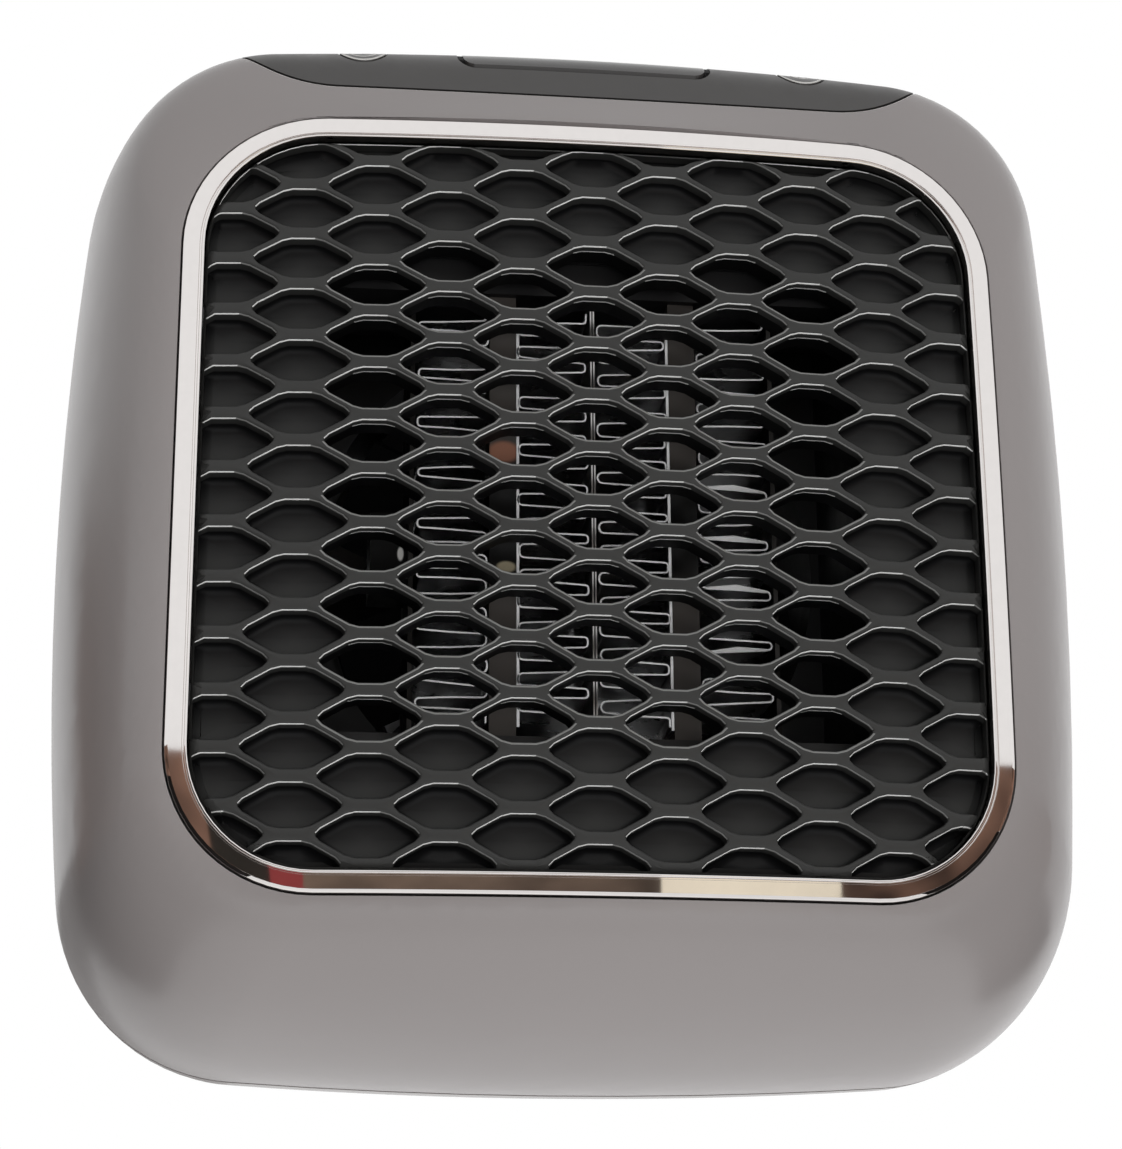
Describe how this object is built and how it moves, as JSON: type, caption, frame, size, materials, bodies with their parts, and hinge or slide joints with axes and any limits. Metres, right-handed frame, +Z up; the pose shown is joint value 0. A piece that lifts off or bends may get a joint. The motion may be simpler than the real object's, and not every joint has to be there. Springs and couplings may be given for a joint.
{
  "type": "plug-in fan heater",
  "caption": "Square pillow-shaped wall-plug heater with a domed hexagon grille, chrome ring, top panel with display and push buttons, inner fan and a turning plug",
  "frame": {"origin": "centre of the plug face that meets the wall socket, on the axis that the body turns about", "axes": "+Z up, +Y out of the plug into the wall, -Y the front with the grille, +X to the right seen from the front"},
  "size_m": [0.1208, 0.101, 0.1205],
  "materials": {
    "shell_grey": "semi-gloss warm grey moulding",
    "chrome": "polished plated trim",
    "grille_grey": "satin dark grey moulding",
    "panel_grey": "satin charcoal moulding",
    "lens_smoke": "smoked clear moulding",
    "button_grey": "satin charcoal with a light ring",
    "display_white": "white reflector block",
    "switch_black": "black moulding",
    "circuit_board": "green solder mask",
    "duct_black": "heat-proof black moulding",
    "aluminium": "bare sheet and extrusion",
    "steel": "zinc-plated steel",
    "brass": "plain brass",
    "plated_brass": "nickel-plated brass",
    "cutout_white": "white heat-proof moulding",
    "relay_case": "dark blue moulding",
    "capacitor_sleeve": "shrunk sleeve",
    "fuse_case": "brown moulding",
    "plug_grey": "fine-grained dark moulding"
  },
  "bodies": {
    "plug": {"plug_turret": "plug_grey", "plug_pin_left": "plated_brass", "plug_pin_right": "plated_brass", "plug_retainer": "plug_grey", "plug_screws": "steel", "wiper_left": "brass", "wiper_right": "brass"},
    "housing": {"front_shell": "shell_grey", "rear_shell": "shell_grey", "chrome_ring": "chrome", "front_grille": "grille_grey", "top_panel": "panel_grey", "display_lens": "lens_smoke", "display_module": "display_white", "timer_switch": "switch_black", "power_switch": "switch_black", "control_board": "circuit_board", "power_board": "circuit_board", "heater_duct": "duct_black", "upper_clip": "duct_black", "lower_clip": "duct_black", "fan_frame": "duct_black", "contact_plate": "duct_black", "heater_tube_left": "aluminium", "heater_tube_right": "aluminium", "fin_strip_1": "aluminium", "fin_strip_2": "aluminium", "fin_strip_3": "aluminium", "fin_strip_4": "aluminium", "fin_divider": "aluminium", "fin_end_left": "aluminium", "fin_end_right": "aluminium", "case_screws": "steel", "control_screws": "steel", "duct_screws": "steel", "fan_screws": "steel", "power_screws": "steel", "contact_screws": "steel", "fan_motor": "steel", "heater_terminals": "brass", "contact_ring_outer": "brass", "contact_ring_inner": "brass", "thermal_cutout": "cutout_white", "power_relay": "relay_case", "filter_capacitor": "capacitor_sleeve", "board_fuse": "fuse_case"},
    "fan": {"impeller": "duct_black", "fan_shaft": "steel"},
    "timer_button": {"timer_button": "button_grey"},
    "power_button": {"power_button": "button_grey"}
  },
  "joints": [
    {"name": "plug_turn", "type": "hinge", "parent": "plug", "child": "housing", "pos_m": [0, -0.008, 0], "axis": [0, 1, 0], "continuous": true},
    {"name": "fan_spin", "type": "hinge", "parent": "housing", "child": "fan", "pos_m": [0, -0.044, 0.001], "axis": [0, 1, 0], "continuous": true},
    {"name": "timer_press", "type": "slide", "parent": "housing", "child": "timer_button", "axis": [0, 0.4695, -0.8829], "range_m": [0, 0.0006], "stiffness_N_per_m": 1500},
    {"name": "power_press", "type": "slide", "parent": "housing", "child": "power_button", "axis": [0, 0.4695, -0.8829], "range_m": [0, 0.0006], "stiffness_N_per_m": 1500}
  ]
}
